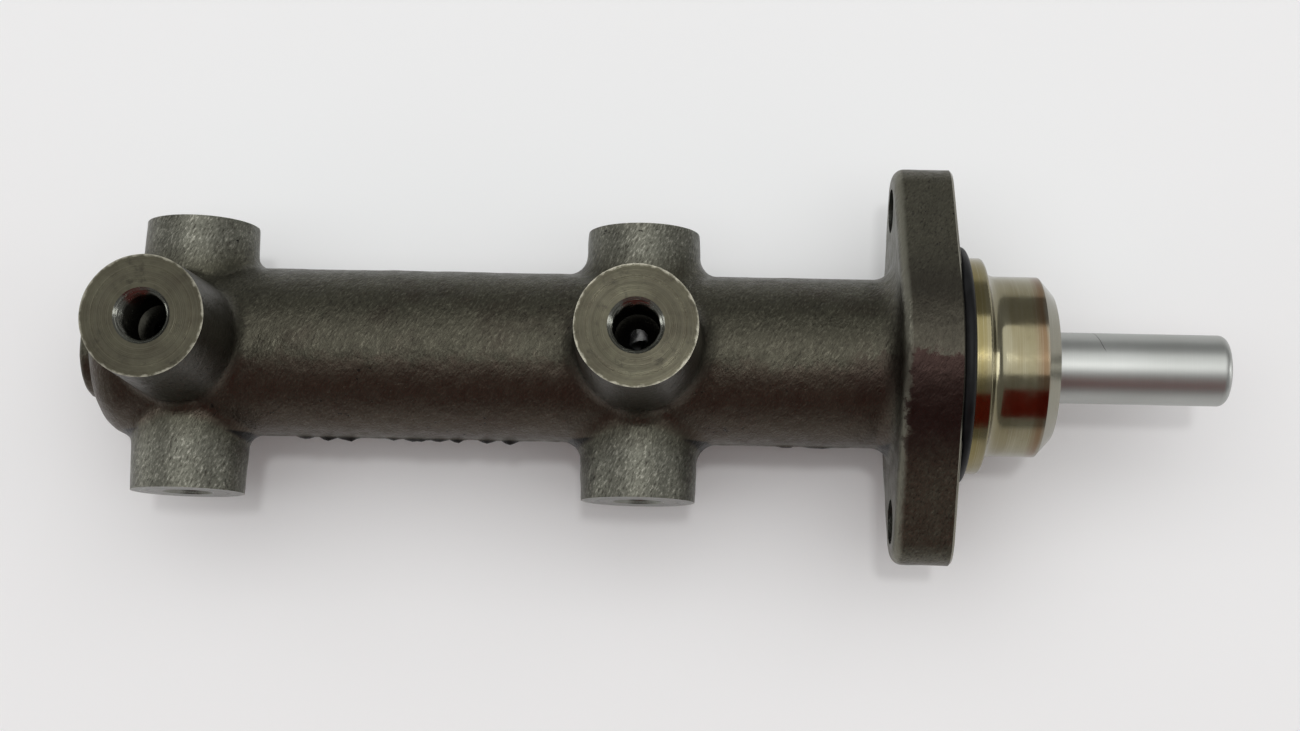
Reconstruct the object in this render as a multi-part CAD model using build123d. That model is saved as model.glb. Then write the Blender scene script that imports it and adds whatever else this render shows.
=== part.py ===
from build123d import *
from math import cos, radians, sin, tan
import os

# A tandem brake master cylinder in cast iron: two pistons in one bore, one brake circuit
# in front of each. Millimetres.
# +X runs along the bore towards the rod, and +Z is up as the casting stands on its two
# reservoir inlets. The origin is where the bore's axis crosses the flange's mounting face,
# so everything in front of the flange has a negative X.

# ---- Barrel: the cast tube that holds the bore ----
BARREL_DIAMETER = 34.4
BARREL_LENGTH = 172.6          # from the mounting face to the closed end
BARREL_END_ROUND = 7.2
END_BOSS_DIAMETER = 20.0       # low round boss on the closed end
END_BOSS_HEIGHT = 2.6
END_BOSS_ROUND = 1.2
BORE_DIAMETER = 22.2
BORE_END_WALL = 9.1

# ---- Flange: two lobes, one stud hole in each ----
FLANGE_THICKNESS = 12.0
FLANGE_WAIST_DIAMETER = 48.0
FLANGE_LOBE_RADIUS = 8.6
FLANGE_FRONT_ROUND = 2.4
FLANGE_REAR_BREAK = 0.5
STUD_SPACING = 64.0
STUD_HOLE_DIAMETER = 9.0

# ---- Cast shape ----
DRAFT_ANGLE = 2.25             # taper of every boss, degrees
ROOT_FILLET = 4.0              # where ports and flange grow out of the barrel
FRONT_ROOT_FILLET = 3.0        # smaller at the front station, close to the closed end
INLET_ROOT_FILLET = 3.0

# ---- Threaded ports, three round the barrel at each of two stations ----
REAR_STATION = 62.7            # from the mounting face
FRONT_STATION = 154.0
UPPER_PORT_HEIGHT = 39.2       # from the bore's axis to the port's face
RIGHT_PORT_HEIGHT = 25.9       # the +Y side
LEFT_PORT_HEIGHT = 29.1        # the -Y side
UPPER_PORT_DIAMETER = 23.2     # of the machined face
SIDE_PORT_DIAMETER = 22.8
PORT_MINOR_DIAMETER = 8.92     # thread M10 x 1, drawn at its minor diameter
PORT_MOUTH_DIAMETER = 10.7
UPPER_THREAD_DEPTH = 14.0
SIDE_THREAD_DEPTH = 10.5
PORT_PASSAGE_DIAMETER = 4.0
DRILL_POINT_ANGLE = 118.0

# ---- Reservoir inlets, underneath ----
REAR_INLET = 32.0              # from the mounting face
FRONT_INLET = 134.5
INLET_HEIGHT = 26.0
INLET_DIAMETER = 22.0
SOCKET_DIAMETER = 15.0
SOCKET_DEPTH = 8.5
SOCKET_GROOVE_DEPTH = 0.7
SOCKET_GROOVE_WIDTH = 2.4
SOCKET_GROOVE_START = 3.2      # from the inlet's face
FEED_HOLE_DIAMETER = 4.0
FEED_HOLE_OFFSET = 4.0         # towards the rod from the inlet's centre
COMPENSATING_DIAMETER = 0.7
COMPENSATING_OFFSET = 5.6      # away from the rod
GROMMET_COLLAR_DIAMETER = 19.0
GROMMET_COLLAR_HEIGHT = 1.5
GROMMET_BORE_DIAMETER = 9.5
GROMMET_FLOOR_SPACE = 2.0      # between the grommet and the socket's floor
GROMMET_MOUTH_CHAMFER = 0.8
GROMMET_FOOT_CHAMFER = 0.5
GROMMET_COLLAR_CHAMFER = 0.4

# ---- Spigot behind the flange, with the pocket for the rod's seals ----
SPIGOT_DIAMETER = 33.4
SPIGOT_LENGTH = 15.6
SEAT_RECESS_DEPTH = 0.2        # spot face round the spigot for the sleeve's rim and the O-ring
POCKET_DIAMETER = 26.4
POCKET_FLOOR = 3.0             # in front of the mounting face
SNAP_GROOVE_DEPTH = 1.0
SNAP_GROOVE_WALL = 1.1         # spigot left behind the groove
SNAP_RING_THICKNESS = 1.2
SNAP_RING_WIDTH = 2.2
SNAP_RING_GAP_ANGLE = 40.0
SNAP_LUG_REACH = 1.9
SNAP_LUG_WIDTH = 2.7
SNAP_LUG_ANGLE = 28.0          # from the middle of the gap to each lug
SNAP_LUG_HOLE_DIAMETER = 1.3

# ---- Steel guide sleeve over the spigot, and its O-ring ----
SLEEVE_RIM_DIAMETER = 43.8
SLEEVE_RIM_LENGTH = 5.5
SLEEVE_RIM_ROUND = 0.5
SLEEVE_DIAMETER = 36.5
SLEEVE_NECK_RADIUS = 3.0
SLEEVE_END_WALL = 4.1           # beyond the spigot
SLEEVE_CHAMFER_LENGTH = 2.8
SLEEVE_CHAMFER_DROP = 3.15
SLEEVE_MOUTH_DIAMETER = 18.0
O_RING_SECTION = 2.3

# ---- Pistons; what fits in the bore takes its diameters as shares of the bore's ----
ROD_DIAMETER = 14.4
ROD_LENGTH = 55.6              # from the mounting face to the rod's end
ROD_END_ROUND = 1.8
PRIMARY_WAIST_DIAMETER = 0.72 * BORE_DIAMETER
GUIDE_LAND_LENGTH = 4.5
GUIDE_LAND_FLATS = 0.883 * BORE_DIAMETER       # across the flats that let fluid past
GUIDE_LAND_FLAT_COUNT = 4
HEAD_LENGTH = 3.0
HEAD_HOLE_DIAMETER = 1.5
HEAD_HOLE_CIRCLE = 0.838 * BORE_DIAMETER
HEAD_HOLE_COUNT = 6
NOSE_DIAMETER = 0.495 * BORE_DIAMETER
NOSE_PROUD = 1.0               # nose in front of its spring seat
SECONDARY_WAIST_DIAMETER = 0.676 * BORE_DIAMETER
SECONDARY_REAR = 75.0          # from the mounting face to the secondary piston's rear face
SECONDARY_REAR_LAND = 2.5
CUP_GROOVE_LENGTH = 5.0
CUP_GROOVE_DIAMETER = 0.63 * BORE_DIAMETER
CUP_GROOVE_DIVIDER = 1.5
STOP_COLLAR_DIAMETER = 0.919 * BORE_DIAMETER
STOP_COLLAR_LENGTH = 2.9

# ---- Piston cups and what holds them ----
CUP_LENGTH = 4.0
CUP_BASE = 1.9
CUP_HEEL_LENGTH = 0.5          # rounded heel at the base
CUP_HEEL_DROP = 0.7
CUP_WALL_SLOPE = 0.3           # the outer wall leans in from lip to heel
CUP_LIP_EDGE = 0.4
CUP_LIP_EDGE_DROP = 0.15
CUP_LIP_THICKNESS = 0.7
CUP_LIP_ROOT = 1.7
CUP_INNER_WALL = 0.6
CUP_INNER_ROOT = 1.1
CUP_INNER_SHORT = 0.5          # the inner wall stops short of the lip
CUP_LIP_BEHIND_HOLE = 1.0      # from the compensating hole's centre back to the lip
CUP_WASHER_THICKNESS = 0.5
SUPPORT_RING_LENGTH = 3.0
SUPPORT_RING_FOOT = (1.5, 2.6) # inner and outer wall of its foot, over the nose's radius
SUPPORT_RING_BODY = (1.0, 2.9)
SUPPORT_RING_COLLAR = 3.4
SPRING_SEAT_THICKNESS = 0.8
SPRING_SEAT_DIAMETER = 0.874 * BORE_DIAMETER
SPRING_SEAT_SKIRT = 2.0

# ---- Springs, captive sleeve and its screw ----
SPRING_MEAN_DIAMETER = 0.73 * BORE_DIAMETER
PRIMARY_WIRE = 2.0
PRIMARY_COILS = 7.5
SECONDARY_WIRE = 1.7
SECONDARY_COILS = 4.5
RETAINER_FLANGE_DIAMETER = 0.838 * BORE_DIAMETER
RETAINER_TUBE_DIAMETER = 0.514 * BORE_DIAMETER
RETAINER_WALL = 0.8
RETAINER_LENGTH = 19.0
STROKE_SCREW_DIAMETER = 0.22 * BORE_DIAMETER
STROKE_SCREW_HEAD_DIAMETER = 0.387 * BORE_DIAMETER
STROKE_SCREW_HEAD_LENGTH = 3.0
STROKE_SCREW_GRIP = 9.0        # held in the piston's nose
STROKE_SCREW_HOLE_SPARE = 2.0  # hole left beyond the screw's end
STROKE_SCREW_SLOT = 1.2

# ---- Stop screw that keeps the secondary piston from coming back too far ----
STOP_SCREW_STATION = 112.0
STOP_PAD_DIAMETER = 13.0
STOP_PAD_HEIGHT = 19.5
STOP_PAD_FILLET = 2.0
STOP_SCREW_DIAMETER = 5.0
STOP_SCREW_TIP_GAP = 0.6       # from its tip to the secondary piston's waist
STOP_SCREW_HEX = 10.0
STOP_SCREW_HEAD = 4.5
STOP_SCREW_CROWN_STEP = 0.3    # flat on the head inside its corners
STOP_WASHER_DIAMETER = 11.5
STOP_WASHER_THICKNESS = 1.2

# ---- Stack round the rod, from the pocket's floor outwards ----
STOP_PLATE_THICKNESS = 1.8
ROD_SEAL_LENGTH = 5.4
ROD_SEAL_RELIEF = 0.3          # the inner wall stands off the rod behind its lip
ROD_SEAL_LIP_LENGTH = 1.2
ROD_SEAL_LIP_THICKNESS = 0.8
ROD_SEAL_WALL = 1.9
GUIDE_BUSH_LENGTH = 5.0
BUSH_GROOVE_WIDTH = 1.6
BUSH_GROOVE_DEPTH = 0.6
VACUUM_SEAL_BACK = 1.4         # thickness of its back
VACUUM_SEAL_WALL = 2.4
VACUUM_SEAL_WALL_ROOT = 2.9
VACUUM_SEAL_LIP_ROOT = 1.9
VACUUM_SEAL_LIP_END = 0.7
VACUUM_SEAL_LIP_LENGTH = 0.5   # length of the lip's edge on the rod
VACUUM_SEAL_LIP_SHORT = 0.4    # the lip stops short of the outer wall

# ---- Clearances ----
PISTON_GAP = 0.03              # radial, piston in bore
LIP_GAP = 0.02                 # radial, rubber lip on what it seals
BUSH_GAP = 0.05                # radial, guide bush on rod
SEAT_GAP = 0.02                # between pieces that stay together
LOOSE_GAP = 0.4                # radial, pieces that must never rub
TOUCH_GAP = 0.05               # along X, where a piston rests on its stop

barrel_radius = BARREL_DIAMETER / 2
bore_radius = BORE_DIAMETER / 2
bore_end = -BARREL_LENGTH + BORE_END_WALL
pocket_radius = POCKET_DIAMETER / 2
rod_radius = ROD_DIAMETER / 2
piston_radius = bore_radius - PISTON_GAP
lip_radius = bore_radius - LIP_GAP
nose_radius = NOSE_DIAMETER / 2
seat_x = -SEAT_RECESS_DEPTH + SEAT_GAP
sleeve_end = SPIGOT_LENGTH + SLEEVE_END_WALL


UP, RIGHT, LEFT, DOWN = 0, -90, 90, 180       # roll of a boss about the bore's axis, degrees
STATIONS = ((-REAR_STATION, ROOT_FILLET), (-FRONT_STATION, FRONT_ROOT_FILLET))
SIDE_PORTS = ((RIGHT, RIGHT_PORT_HEIGHT), (LEFT, LEFT_PORT_HEIGHT))


def turned(points):
    """A solid turned about the bore's axis from (x, radius) points."""
    outline = Polyline([(x, radius) for x, radius in points], close=True)
    return revolve(make_face(outline), Axis.X)


def ring(start, end, inner_diameter, outer_diameter):
    """A plain ring about the bore's axis, from x = start to x = end."""
    inner, outer = inner_diameter / 2, outer_diameter / 2
    return turned([(start, inner), (end, inner), (end, outer), (start, outer)])


def rod_along_x(start, end, diameter):
    """A plain round bar on the bore's axis."""
    return turned([(start, 0), (end, 0), (end, diameter / 2), (start, diameter / 2)])


def facing(x, roll):
    """A place at x on the bore's axis whose own Z axis points out sideways, rolled from +Z."""
    return Pos(x, 0, 0) * Rot(roll, 0, 0)


def drafted_boss(x, roll, height, face_diameter):
    """A round cast boss that widens from its face down to the bore's axis by the draft."""
    root_radius = face_diameter / 2 + height * tan(radians(DRAFT_ANGLE))
    return facing(x, roll) * Pos(0, 0, height / 2) * Cone(root_radius, face_diameter / 2, height)


def joined(body, boss, radius):
    """The boss fused to the casting, with a fillet round its root."""
    fused = body + boss
    return fillet(new_edges(body, boss, combined=fused), radius)


def with_ports(body):
    """The casting with its six port bosses: the side ones first, then the upper ones."""
    for x, root in STATIONS:
        for roll, height in SIDE_PORTS:
            body = joined(body, drafted_boss(x, roll, height, SIDE_PORT_DIAMETER), root)
    for x, root in STATIONS:
        body = joined(body, drafted_boss(x, UP, UPPER_PORT_HEIGHT, UPPER_PORT_DIAMETER), root)
    return body


def port_drilling(x, roll, height, thread_depth):
    """Thread core, chamfered mouth, drill point and the small passage to the bore."""
    core, mouth = PORT_MINOR_DIAMETER / 2, PORT_MOUTH_DIAMETER / 2
    chamfer_depth = mouth - core
    floor = height - thread_depth
    point_depth = core / tan(radians(DRILL_POINT_ANGLE / 2))
    passage = PORT_PASSAGE_DIAMETER / 2
    point_left = point_depth * passage / core
    outline = Polyline(
        (0, 0), (passage, 0), (passage, floor - point_depth + point_left), (core, floor),
        (core, height - chamfer_depth), (mouth, height), (0, height), close=True,
    )
    turned_tool = revolve(make_face(Plane.XZ * outline), Axis.Z)
    return facing(x, roll) * turned_tool


def inlet_drilling(x):
    """Grooved socket for the grommet, feed hole and compensating hole."""
    socket = SOCKET_DIAMETER / 2
    groove = socket + SOCKET_GROOVE_DEPTH
    groove_top = INLET_HEIGHT - SOCKET_GROOVE_START
    groove_bottom = groove_top - SOCKET_GROOVE_WIDTH
    floor = INLET_HEIGHT - SOCKET_DEPTH
    outline = Polyline(
        (0, floor), (socket, floor), (socket, groove_bottom), (groove, groove_bottom),
        (groove, groove_top), (socket, groove_top), (socket, INLET_HEIGHT), (0, INLET_HEIGHT),
        close=True,
    )
    tool = facing(x, DOWN) * revolve(make_face(Plane.XZ * outline), Axis.Z)
    for offset, diameter in ((FEED_HOLE_OFFSET, FEED_HOLE_DIAMETER),
                             (-COMPENSATING_OFFSET, COMPENSATING_DIAMETER)):
        hole = Cylinder(diameter / 2, floor, align=(Align.CENTER, Align.CENTER, Align.MIN))
        tool += facing(x + offset, DOWN) * hole
    return tool


def flange_blank():
    """Waist and two lobes in one smooth outline, with a rounded front edge."""
    lobes = [Pos(side * STUD_SPACING / 2, 0) * Circle(FLANGE_LOBE_RADIUS) for side in (-1, 1)]
    outline = make_hull((Circle(FLANGE_WAIST_DIAMETER / 2) + lobes).edges())
    blank = extrude(Plane.YZ.offset(-FLANGE_THICKNESS) * outline, FLANGE_THICKNESS)
    front = blank.faces().sort_by(Axis.X)[0].edges()
    blank = fillet(front, FLANGE_FRONT_ROUND)
    rear = blank.faces().sort_by(Axis.X)[-1].edges()
    return chamfer(rear, FLANGE_REAR_BREAK)


def cylinder_body():
    """The iron casting: barrel, flange, ports and inlets, then everything bored in it."""
    barrel = rod_along_x(-BARREL_LENGTH, 0, BARREL_DIAMETER)
    body = with_ports(joined(barrel, flange_blank(), ROOT_FILLET))
    body = fillet(body.faces().sort_by(Axis.X)[0].edges(), BARREL_END_ROUND)
    end_boss = rod_along_x(-BARREL_LENGTH - END_BOSS_HEIGHT, bore_end, END_BOSS_DIAMETER)
    body += fillet(end_boss.edges().sort_by(Axis.X)[0], END_BOSS_ROUND)
    for station in (REAR_INLET, FRONT_INLET):
        inlet = drafted_boss(-station, DOWN, INLET_HEIGHT, INLET_DIAMETER)
        body = joined(body, inlet, INLET_ROOT_FILLET)
    pad = drafted_boss(-STOP_SCREW_STATION, DOWN, STOP_PAD_HEIGHT, STOP_PAD_DIAMETER)
    body = joined(body, pad, STOP_PAD_FILLET)
    body += rod_along_x(-POCKET_FLOOR, SPIGOT_LENGTH, SPIGOT_DIAMETER)

    seat_diameter = SLEEVE_RIM_DIAMETER + 2 * (O_RING_SECTION + LOOSE_GAP)
    body -= ring(-SEAT_RECESS_DEPTH, 0, SPIGOT_DIAMETER, seat_diameter)
    body -= rod_along_x(bore_end, 0, BORE_DIAMETER)
    body -= rod_along_x(-POCKET_FLOOR, SPIGOT_LENGTH, POCKET_DIAMETER)
    body -= ring(snap_groove_start(), snap_groove_end(), POCKET_DIAMETER,
                 POCKET_DIAMETER + 2 * SNAP_GROOVE_DEPTH)
    for x, _ in STATIONS:
        for roll, height in SIDE_PORTS:
            body -= port_drilling(x, roll, height, SIDE_THREAD_DEPTH)
        body -= port_drilling(x, UP, UPPER_PORT_HEIGHT, UPPER_THREAD_DEPTH)
    for station in (REAR_INLET, FRONT_INLET):
        body -= inlet_drilling(-station)
    body -= facing(-STOP_SCREW_STATION, DOWN) * Cylinder(
        STOP_SCREW_DIAMETER / 2, STOP_PAD_HEIGHT, align=(Align.CENTER, Align.CENTER, Align.MIN))
    for side in (-1, 1):
        hole = Cylinder(STUD_HOLE_DIAMETER / 2, 2 * FLANGE_THICKNESS, rotation=(0, 90, 0))
        body -= Pos(-FLANGE_THICKNESS, side * STUD_SPACING / 2, 0) * hole
    return body


def snap_groove_end():
    return SPIGOT_LENGTH - SNAP_GROOVE_WALL


def snap_groove_start():
    return snap_groove_end() - SNAP_RING_THICKNESS - 2 * SEAT_GAP


# ---- Pieces fixed to the casting ----

def guide_sleeve():
    """Turned steel cap: rim, hollow neck, chamfered end, and a mouth for the rod."""
    rim, outer = SLEEVE_RIM_DIAMETER / 2, SLEEVE_DIAMETER / 2
    inner = SPIGOT_DIAMETER / 2 + SEAT_GAP
    cavity_end = SPIGOT_LENGTH + SEAT_GAP
    chamfer_start = sleeve_end - SLEEVE_CHAMFER_LENGTH
    sleeve = turned([
        (seat_x, inner), (cavity_end, inner), (cavity_end, SLEEVE_MOUTH_DIAMETER / 2),
        (sleeve_end, SLEEVE_MOUTH_DIAMETER / 2), (sleeve_end, outer - SLEEVE_CHAMFER_DROP),
        (chamfer_start, outer), (SLEEVE_RIM_LENGTH, outer), (SLEEVE_RIM_LENGTH, rim), (seat_x, rim),
    ])
    circles = sleeve.edges().filter_by(GeomType.CIRCLE)
    neck = [e for e in circles if at_edge(e, SLEEVE_RIM_LENGTH, outer)]
    sleeve = fillet(neck, SLEEVE_NECK_RADIUS)
    circles = sleeve.edges().filter_by(GeomType.CIRCLE)
    rim_edge = [e for e in circles if at_edge(e, SLEEVE_RIM_LENGTH, rim)]
    return fillet(rim_edge, SLEEVE_RIM_ROUND)


def at_edge(edge, x, radius):
    """True for a round edge about the bore's axis at this x and radius."""
    close = 1e-3
    return abs(edge.radius - radius) < close and abs(edge.arc_center.X - x) < close


def mounting_o_ring():
    """Rubber ring in the corner between the mounting face and the sleeve's rim."""
    centre_radius = SLEEVE_RIM_DIAMETER / 2 + SEAT_GAP + O_RING_SECTION / 2
    section = Plane.XY * Pos(seat_x + O_RING_SECTION / 2, centre_radius) * Circle(O_RING_SECTION / 2)
    return revolve(section, Axis.X)


def rod_stack():
    """Start and end of each piece round the rod, from the pocket's floor to the snap ring."""
    places, x = {}, -POCKET_FLOOR
    vacuum_seal_length = (snap_groove_start() + POCKET_FLOOR - STOP_PLATE_THICKNESS
                          - ROD_SEAL_LENGTH - GUIDE_BUSH_LENGTH)
    for name, length in (("stop_plate", STOP_PLATE_THICKNESS), ("rod_seal", ROD_SEAL_LENGTH),
                         ("guide_bush", GUIDE_BUSH_LENGTH), ("vacuum_seal", vacuum_seal_length)):
        places[name] = (x + SEAT_GAP, x + length)
        x += length
    return places


def stop_plate():
    start, end = rod_stack()["stop_plate"]
    return ring(start, end, ROD_DIAMETER + 2 * LOOSE_GAP, POCKET_DIAMETER - 2 * SEAT_GAP)


def rod_seal():
    """Cup that keeps the fluid in: its lips point at the pistons, the inner one on the rod."""
    start, end = rod_stack()["rod_seal"]
    inner, outer = rod_radius + LIP_GAP, pocket_radius - SEAT_GAP
    root = end - CUP_BASE
    clear = inner + ROD_SEAL_RELIEF
    return turned([
        (end, clear), (end, outer), (start, outer), (start, outer - ROD_SEAL_LIP_THICKNESS),
        (root, outer - ROD_SEAL_WALL), (root, inner + ROD_SEAL_WALL),
        (start, inner + ROD_SEAL_LIP_THICKNESS), (start, inner), (start + ROD_SEAL_LIP_LENGTH, clear),
    ])


def rod_guide_bush():
    """Nylon bush that the rod slides in, with a shallow grease groove."""
    start, end = rod_stack()["guide_bush"]
    bush = ring(start, end, ROD_DIAMETER + 2 * BUSH_GAP, POCKET_DIAMETER - 2 * SEAT_GAP)
    middle = (start + end) / 2
    return bush - ring(middle - BUSH_GROOVE_WIDTH / 2, middle + BUSH_GROOVE_WIDTH / 2, ROD_DIAMETER,
                       ROD_DIAMETER + 2 * (BUSH_GAP + BUSH_GROOVE_DEPTH))


def vacuum_seal():
    """Lip seal against the servo's vacuum: a stiff ring with a thin lip leaning outwards."""
    start, end = rod_stack()["vacuum_seal"]
    inner, outer = rod_radius + LIP_GAP, pocket_radius - SEAT_GAP
    back = start + VACUUM_SEAL_BACK
    lip_end = end - VACUUM_SEAL_LIP_SHORT
    return turned([
        (start, inner + VACUUM_SEAL_BACK), (start, outer), (end, outer), (end, outer - VACUUM_SEAL_WALL),
        (back, outer - VACUUM_SEAL_WALL_ROOT), (back, inner + VACUUM_SEAL_LIP_ROOT),
        (lip_end, inner + VACUUM_SEAL_LIP_END), (lip_end, inner),
        (lip_end - VACUUM_SEAL_LIP_LENGTH, inner),
    ])


def snap_ring():
    """Open spring-steel ring in the spigot's groove, with a drilled lug at each end."""
    start = snap_groove_start() + SEAT_GAP
    outer = POCKET_DIAMETER + 2 * (SNAP_GROOVE_DEPTH - SEAT_GAP)
    inner = outer - 2 * SNAP_RING_WIDTH
    lug_inner = inner / 2 - SNAP_LUG_REACH
    lug_length = SNAP_LUG_REACH + SNAP_RING_WIDTH / 2
    plane = Plane.YZ.offset(start)
    profile = Circle(outer / 2) - Circle(inner / 2)
    gap_half = radians(SNAP_RING_GAP_ANGLE / 2)
    gap = Polyline((0, 0), (-outer * sin(gap_half), outer * cos(gap_half)),
                   (outer * sin(gap_half), outer * cos(gap_half)), close=True)
    profile -= make_face(gap)
    for side in (-1, 1):
        lug = Pos(0, lug_inner + lug_length / 2) * RectangleRounded(
            SNAP_LUG_WIDTH, lug_length, SNAP_LUG_WIDTH / 4)
        lug -= Pos(0, lug_inner + SNAP_LUG_REACH / 2) * Circle(SNAP_LUG_HOLE_DIAMETER / 2)
        profile += Rot(0, 0, side * SNAP_LUG_ANGLE) * lug
    return extrude(plane * profile, SNAP_RING_THICKNESS)


def stop_screw():
    """Hexagon screw whose plain tip stands in the secondary piston's waist."""
    tip = SECONDARY_WAIST_DIAMETER / 2 + STOP_SCREW_TIP_GAP
    seat = STOP_PAD_HEIGHT + STOP_WASHER_THICKNESS + 2 * SEAT_GAP
    shank_radius = STOP_SCREW_DIAMETER / 2 - SEAT_GAP
    up = (Align.CENTER, Align.CENTER, Align.MIN)
    shank = Pos(0, 0, tip) * Cylinder(shank_radius, seat - tip, align=up)
    shank = chamfer(shank.edges().filter_by(GeomType.CIRCLE).sort_by(Axis.Z)[0], shank_radius / 4)
    hexagon = RegularPolygon(STOP_SCREW_HEX / 2, 6, major_radius=False)
    head = extrude(Plane.XY.offset(seat) * hexagon, STOP_SCREW_HEAD)
    corner_radius = STOP_SCREW_HEX / 2 / cos(radians(30))
    crown = Pos(0, 0, seat + STOP_SCREW_HEAD) * Cone(
        corner_radius * 2, STOP_SCREW_HEX / 2 - STOP_SCREW_CROWN_STEP, corner_radius,
        align=(Align.CENTER, Align.CENTER, Align.MAX))
    return facing(-STOP_SCREW_STATION, DOWN) * (shank + (head & crown))


def stop_screw_washer():
    outer, inner = STOP_WASHER_DIAMETER / 2, STOP_SCREW_DIAMETER / 2 + SEAT_GAP
    washer = Cylinder(outer, STOP_WASHER_THICKNESS) - Cylinder(inner, STOP_WASHER_THICKNESS)
    middle = STOP_PAD_HEIGHT + SEAT_GAP + STOP_WASHER_THICKNESS / 2
    return facing(-STOP_SCREW_STATION, DOWN) * Pos(0, 0, middle) * washer


def inlet_grommet(station):
    """Rubber grommet that grips the reservoir's spigot: collar, bead in the groove, bore."""
    collar, bore = GROMMET_COLLAR_DIAMETER / 2, GROMMET_BORE_DIAMETER / 2
    body = SOCKET_DIAMETER / 2 - SEAT_GAP
    bead = body + SOCKET_GROOVE_DEPTH - SEAT_GAP
    face = INLET_HEIGHT + SEAT_GAP
    top = face + GROMMET_COLLAR_HEIGHT
    bead_top = INLET_HEIGHT - SOCKET_GROOVE_START - SEAT_GAP
    bead_bottom = bead_top - SOCKET_GROOVE_WIDTH + 2 * SEAT_GAP
    foot = INLET_HEIGHT - SOCKET_DEPTH + GROMMET_FLOOR_SPACE
    outline = Polyline(
        (bore, foot), (body - GROMMET_FOOT_CHAMFER, foot), (body, foot + GROMMET_FOOT_CHAMFER),
        (body, bead_bottom), (bead, bead_bottom), (bead, bead_top), (body, bead_top), (body, face),
        (collar, face), (collar, top - GROMMET_COLLAR_CHAMFER), (collar - GROMMET_COLLAR_CHAMFER, top),
        (bore + GROMMET_MOUTH_CHAMFER, top), (bore, top - GROMMET_MOUTH_CHAMFER), close=True,
    )
    return facing(-station, DOWN) * revolve(make_face(Plane.XZ * outline), Axis.Z)


# ---- Piston cups: shared shapes ----

def piston_cup(base, towards, inner_diameter):
    """U-shaped rubber cup from its base; towards is -1 or 1, the way its lips point along X."""
    inner, lip = inner_diameter / 2 + SEAT_GAP, lip_radius
    inner_end = CUP_LENGTH - CUP_INNER_SHORT
    reach = [
        (0, inner), (0, lip - CUP_HEEL_DROP), (CUP_HEEL_LENGTH, lip - CUP_WALL_SLOPE),
        (CUP_LENGTH - CUP_LIP_EDGE, lip), (CUP_LENGTH, lip - CUP_LIP_EDGE_DROP),
        (CUP_LENGTH, lip - CUP_LIP_THICKNESS), (CUP_BASE, lip - CUP_LIP_ROOT),
        (CUP_BASE, inner + CUP_INNER_ROOT), (inner_end, inner + CUP_INNER_WALL), (inner_end, inner),
    ]
    return turned([(base + towards * x, radius) for x, radius in reach])


def nose_stack(inlet):
    """Places along X of what sits on a piston's nose, worked from its compensating hole."""
    lip = -inlet - COMPENSATING_OFFSET + CUP_LIP_BEHIND_HOLE
    base = lip + CUP_LENGTH
    head_front = base + CUP_WASHER_THICKNESS + 2 * SEAT_GAP
    support_back = base - CUP_BASE - SEAT_GAP
    support_front = support_back - SUPPORT_RING_LENGTH
    seat_front = support_front - SEAT_GAP - SPRING_SEAT_THICKNESS
    return {"base": base, "head_front": head_front, "head_back": head_front + HEAD_LENGTH,
            "support_back": support_back, "support_front": support_front,
            "seat_front": seat_front, "nose_end": seat_front - NOSE_PROUD}


def head_holes(stack):
    """The small feed holes drilled through a piston's head, behind its cup."""
    holes = []
    for turn in range(HEAD_HOLE_COUNT):
        hole = Cylinder(HEAD_HOLE_DIAMETER / 2, 2 * HEAD_LENGTH, rotation=(0, 90, 0))
        angle = turn * 360 / HEAD_HOLE_COUNT
        holes.append(Rot(angle, 0, 0) * Pos(stack["head_front"], 0, HEAD_HOLE_CIRCLE / 2) * hole)
    return holes


def cup_washer(stack):
    """Thin steel washer between a piston's head and its cup."""
    end = stack["head_front"] - SEAT_GAP
    return ring(end - CUP_WASHER_THICKNESS, end, NOSE_DIAMETER + 2 * SEAT_GAP,
                HEAD_HOLE_CIRCLE - HEAD_HOLE_DIAMETER / 2)


def support_ring(stack):
    """Nylon ring that stands in the cup's channel and keeps its lips apart."""
    inner, back, front = nose_radius + SEAT_GAP, stack["support_back"], stack["support_front"]
    waist = back - CUP_LENGTH + CUP_BASE
    foot_inner, foot_outer = SUPPORT_RING_FOOT
    body_inner, body_outer = SUPPORT_RING_BODY
    return turned([
        (back, inner + foot_inner), (back, inner + foot_outer), (waist, inner + body_outer),
        (waist, inner + SUPPORT_RING_COLLAR), (front, inner + SUPPORT_RING_COLLAR), (front, inner),
        (waist, inner), (waist, inner + body_inner),
    ])


def spring_seat(stack):
    """Pressed steel dish that the spring pushes on, its skirt inside the first coil."""
    back, front = stack["support_front"] - SEAT_GAP, stack["seat_front"]
    inner, outer = nose_radius + SEAT_GAP, SPRING_SEAT_DIAMETER / 2
    skirt = inner + SPRING_SEAT_THICKNESS / 2
    return turned([(back, inner), (back, outer), (front, outer), (front, skirt),
                   (front - SPRING_SEAT_SKIRT, skirt), (front - SPRING_SEAT_SKIRT, inner)])


def coil_spring(rear, front, wire, coils):
    """Compression spring between two seats, its ends cut off square to the wire."""
    height = rear - front - 2 * SEAT_GAP - wire
    helix = Helix(pitch=height / coils, height=height, radius=SPRING_MEAN_DIAMETER / 2)
    section = Plane(origin=helix @ 0, z_dir=helix % 0) * Circle(wire / 2)
    coil = Rot(0, 90, 0) * sweep(section, path=helix)
    return Pos(front + SEAT_GAP + wire / 2, 0, 0) * coil


# ---- Primary piston and its cartridge ----

primary_stack = nose_stack(REAR_INLET)
secondary_stack = nose_stack(FRONT_INLET)
secondary_rear = -SECONDARY_REAR
retainer_rear = secondary_rear + SEAT_GAP + RETAINER_LENGTH


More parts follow.
